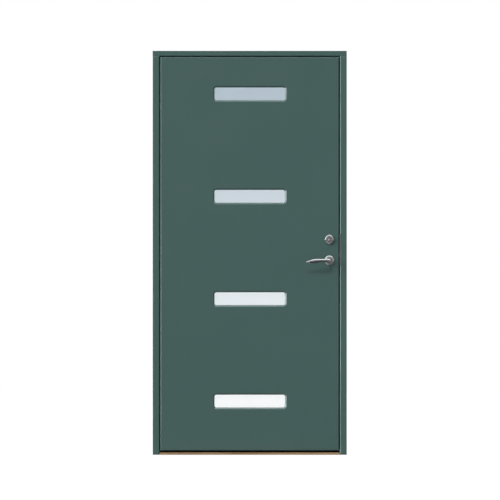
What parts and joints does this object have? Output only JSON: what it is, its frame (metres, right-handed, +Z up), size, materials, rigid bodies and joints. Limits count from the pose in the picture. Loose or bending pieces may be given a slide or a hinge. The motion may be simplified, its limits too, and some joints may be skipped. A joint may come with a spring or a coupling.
{
  "type": "flush front door with slot lights and frame",
  "caption": "Flush exterior door with narrow bevelled slot lights, hung in a rebated frame on concealed hinges, with a lever handle, lock cylinder and oak threshold.",
  "frame": {"origin": "middle of the frame's underside: centre of its width and of its depth", "axes": "+X to the lock side, +Y from outside to inside, +Z up"},
  "size_m": [1.004, 0.1714, 2.09],
  "materials": {
    "paint": "satin green-grey paint",
    "oak": "oiled oak",
    "softwood": "planed softwood",
    "foam": "cut foam",
    "glass": "satin etched",
    "spacer": "matt",
    "rubber": "matt",
    "chrome": "polished",
    "steel": "brushed",
    "zinc": "zinc plated"
  },
  "bodies": {
    "frame": {"head": "paint", "hinge_jamb": "paint", "lock_jamb": "paint", "threshold": "oak", "head_seal": "rubber", "hinge_side_seal": "rubber", "lock_side_seal": "rubber", "threshold_seal": "rubber", "corner_screws": "zinc", "fixing_sleeves": "zinc", "strike_plate": "steel", "strike_screws": "zinc", "lower_frame_hinge": "zinc", "middle_frame_hinge": "zinc", "upper_frame_hinge": "zinc", "frame_hinge_pins": "steel", "frame_hinge_screws": "zinc"},
    "leaf": {"outer_skin": "paint", "inner_skin": "paint", "hinge_stile": "softwood", "lock_stile": "softwood", "top_rail": "softwood", "bottom_rail": "softwood", "insulation_core": "foam", "outer_pane_1": "glass", "outer_pane_2": "glass", "outer_pane_3": "glass", "outer_pane_4": "glass", "inner_pane_1": "glass", "inner_pane_2": "glass", "inner_pane_3": "glass", "inner_pane_4": "glass", "middle_panes": "glass", "glass_spacers": "spacer", "bottom_sweep": "rubber", "outer_rose": "chrome", "inner_rose": "chrome", "cylinder_ring": "chrome", "thumbturn_rose": "chrome", "fore_end": "steel", "cylinder_body": "steel", "leaf_hinge_pins": "steel", "fore_end_screws": "zinc", "leaf_hinge_screws": "zinc", "lock_case": "zinc", "lower_leaf_hinge": "zinc", "middle_leaf_hinge": "zinc", "upper_leaf_hinge": "zinc"},
    "frame_links": {"frame_links": "steel"},
    "leaf_links": {"leaf_links": "steel"},
    "handle": {"outer_lever": "chrome", "inner_lever": "chrome", "spindle": "steel", "follower": "zinc"},
    "latch": {"latch_bolt": "steel"},
    "lock_turn": {"cylinder_plug": "chrome", "thumbturn": "chrome", "bolt_cam": "zinc"},
    "dead_bolt": {"dead_bolt": "steel"}
  },
  "joints": [
    {"name": "leaf_swing", "type": "hinge", "parent": "frame", "child": "leaf", "pos_m": [-0.4645, -0.0555, 1.04], "axis": [0, 0, -1], "range_deg": [0, 95]},
    {"name": "frame_link_turn", "type": "hinge", "parent": "frame", "child": "frame_links", "pos_m": [-0.473, -0.0351, 1.04], "axis": [0, 0, -1], "range_deg": [0, 95]},
    {"name": "leaf_link_turn", "type": "hinge", "parent": "leaf", "child": "leaf_links", "pos_m": [-0.456, -0.0351, 1.04], "axis": [0, 0, 1], "range_deg": [0, 95]},
    {"name": "handle_turn", "type": "hinge", "parent": "leaf", "child": "handle", "pos_m": [0.412, -0.0215, 1.006], "axis": [0, -1, 0], "range_deg": [0, 40], "stiffness_Nm_per_rad": 2, "springref_deg": -20.05},
    {"name": "latch_slide", "type": "slide", "parent": "leaf", "child": "latch", "axis": [-1, 0, 0], "range_m": [0, 0.012]},
    {"name": "lock_turn", "type": "hinge", "parent": "leaf", "child": "lock_turn", "pos_m": [0.412, -0.0215, 1.111], "axis": [0, -1, 0], "range_deg": [0, 90]},
    {"name": "bolt_slide", "type": "slide", "parent": "leaf", "child": "dead_bolt", "axis": [1, 0, 0], "range_m": [0, 0.02]}
  ],
  "couplings": [
    {"joint": "frame_link_turn", "follows": "leaf_swing", "ratio": 1},
    {"joint": "leaf_link_turn", "follows": "leaf_swing", "ratio": 1},
    {"joint": "latch_slide", "follows": "handle_turn", "m_per_rad": 0.017189},
    {"joint": "bolt_slide", "follows": "lock_turn", "m_per_rad": 0.012732}
  ]
}
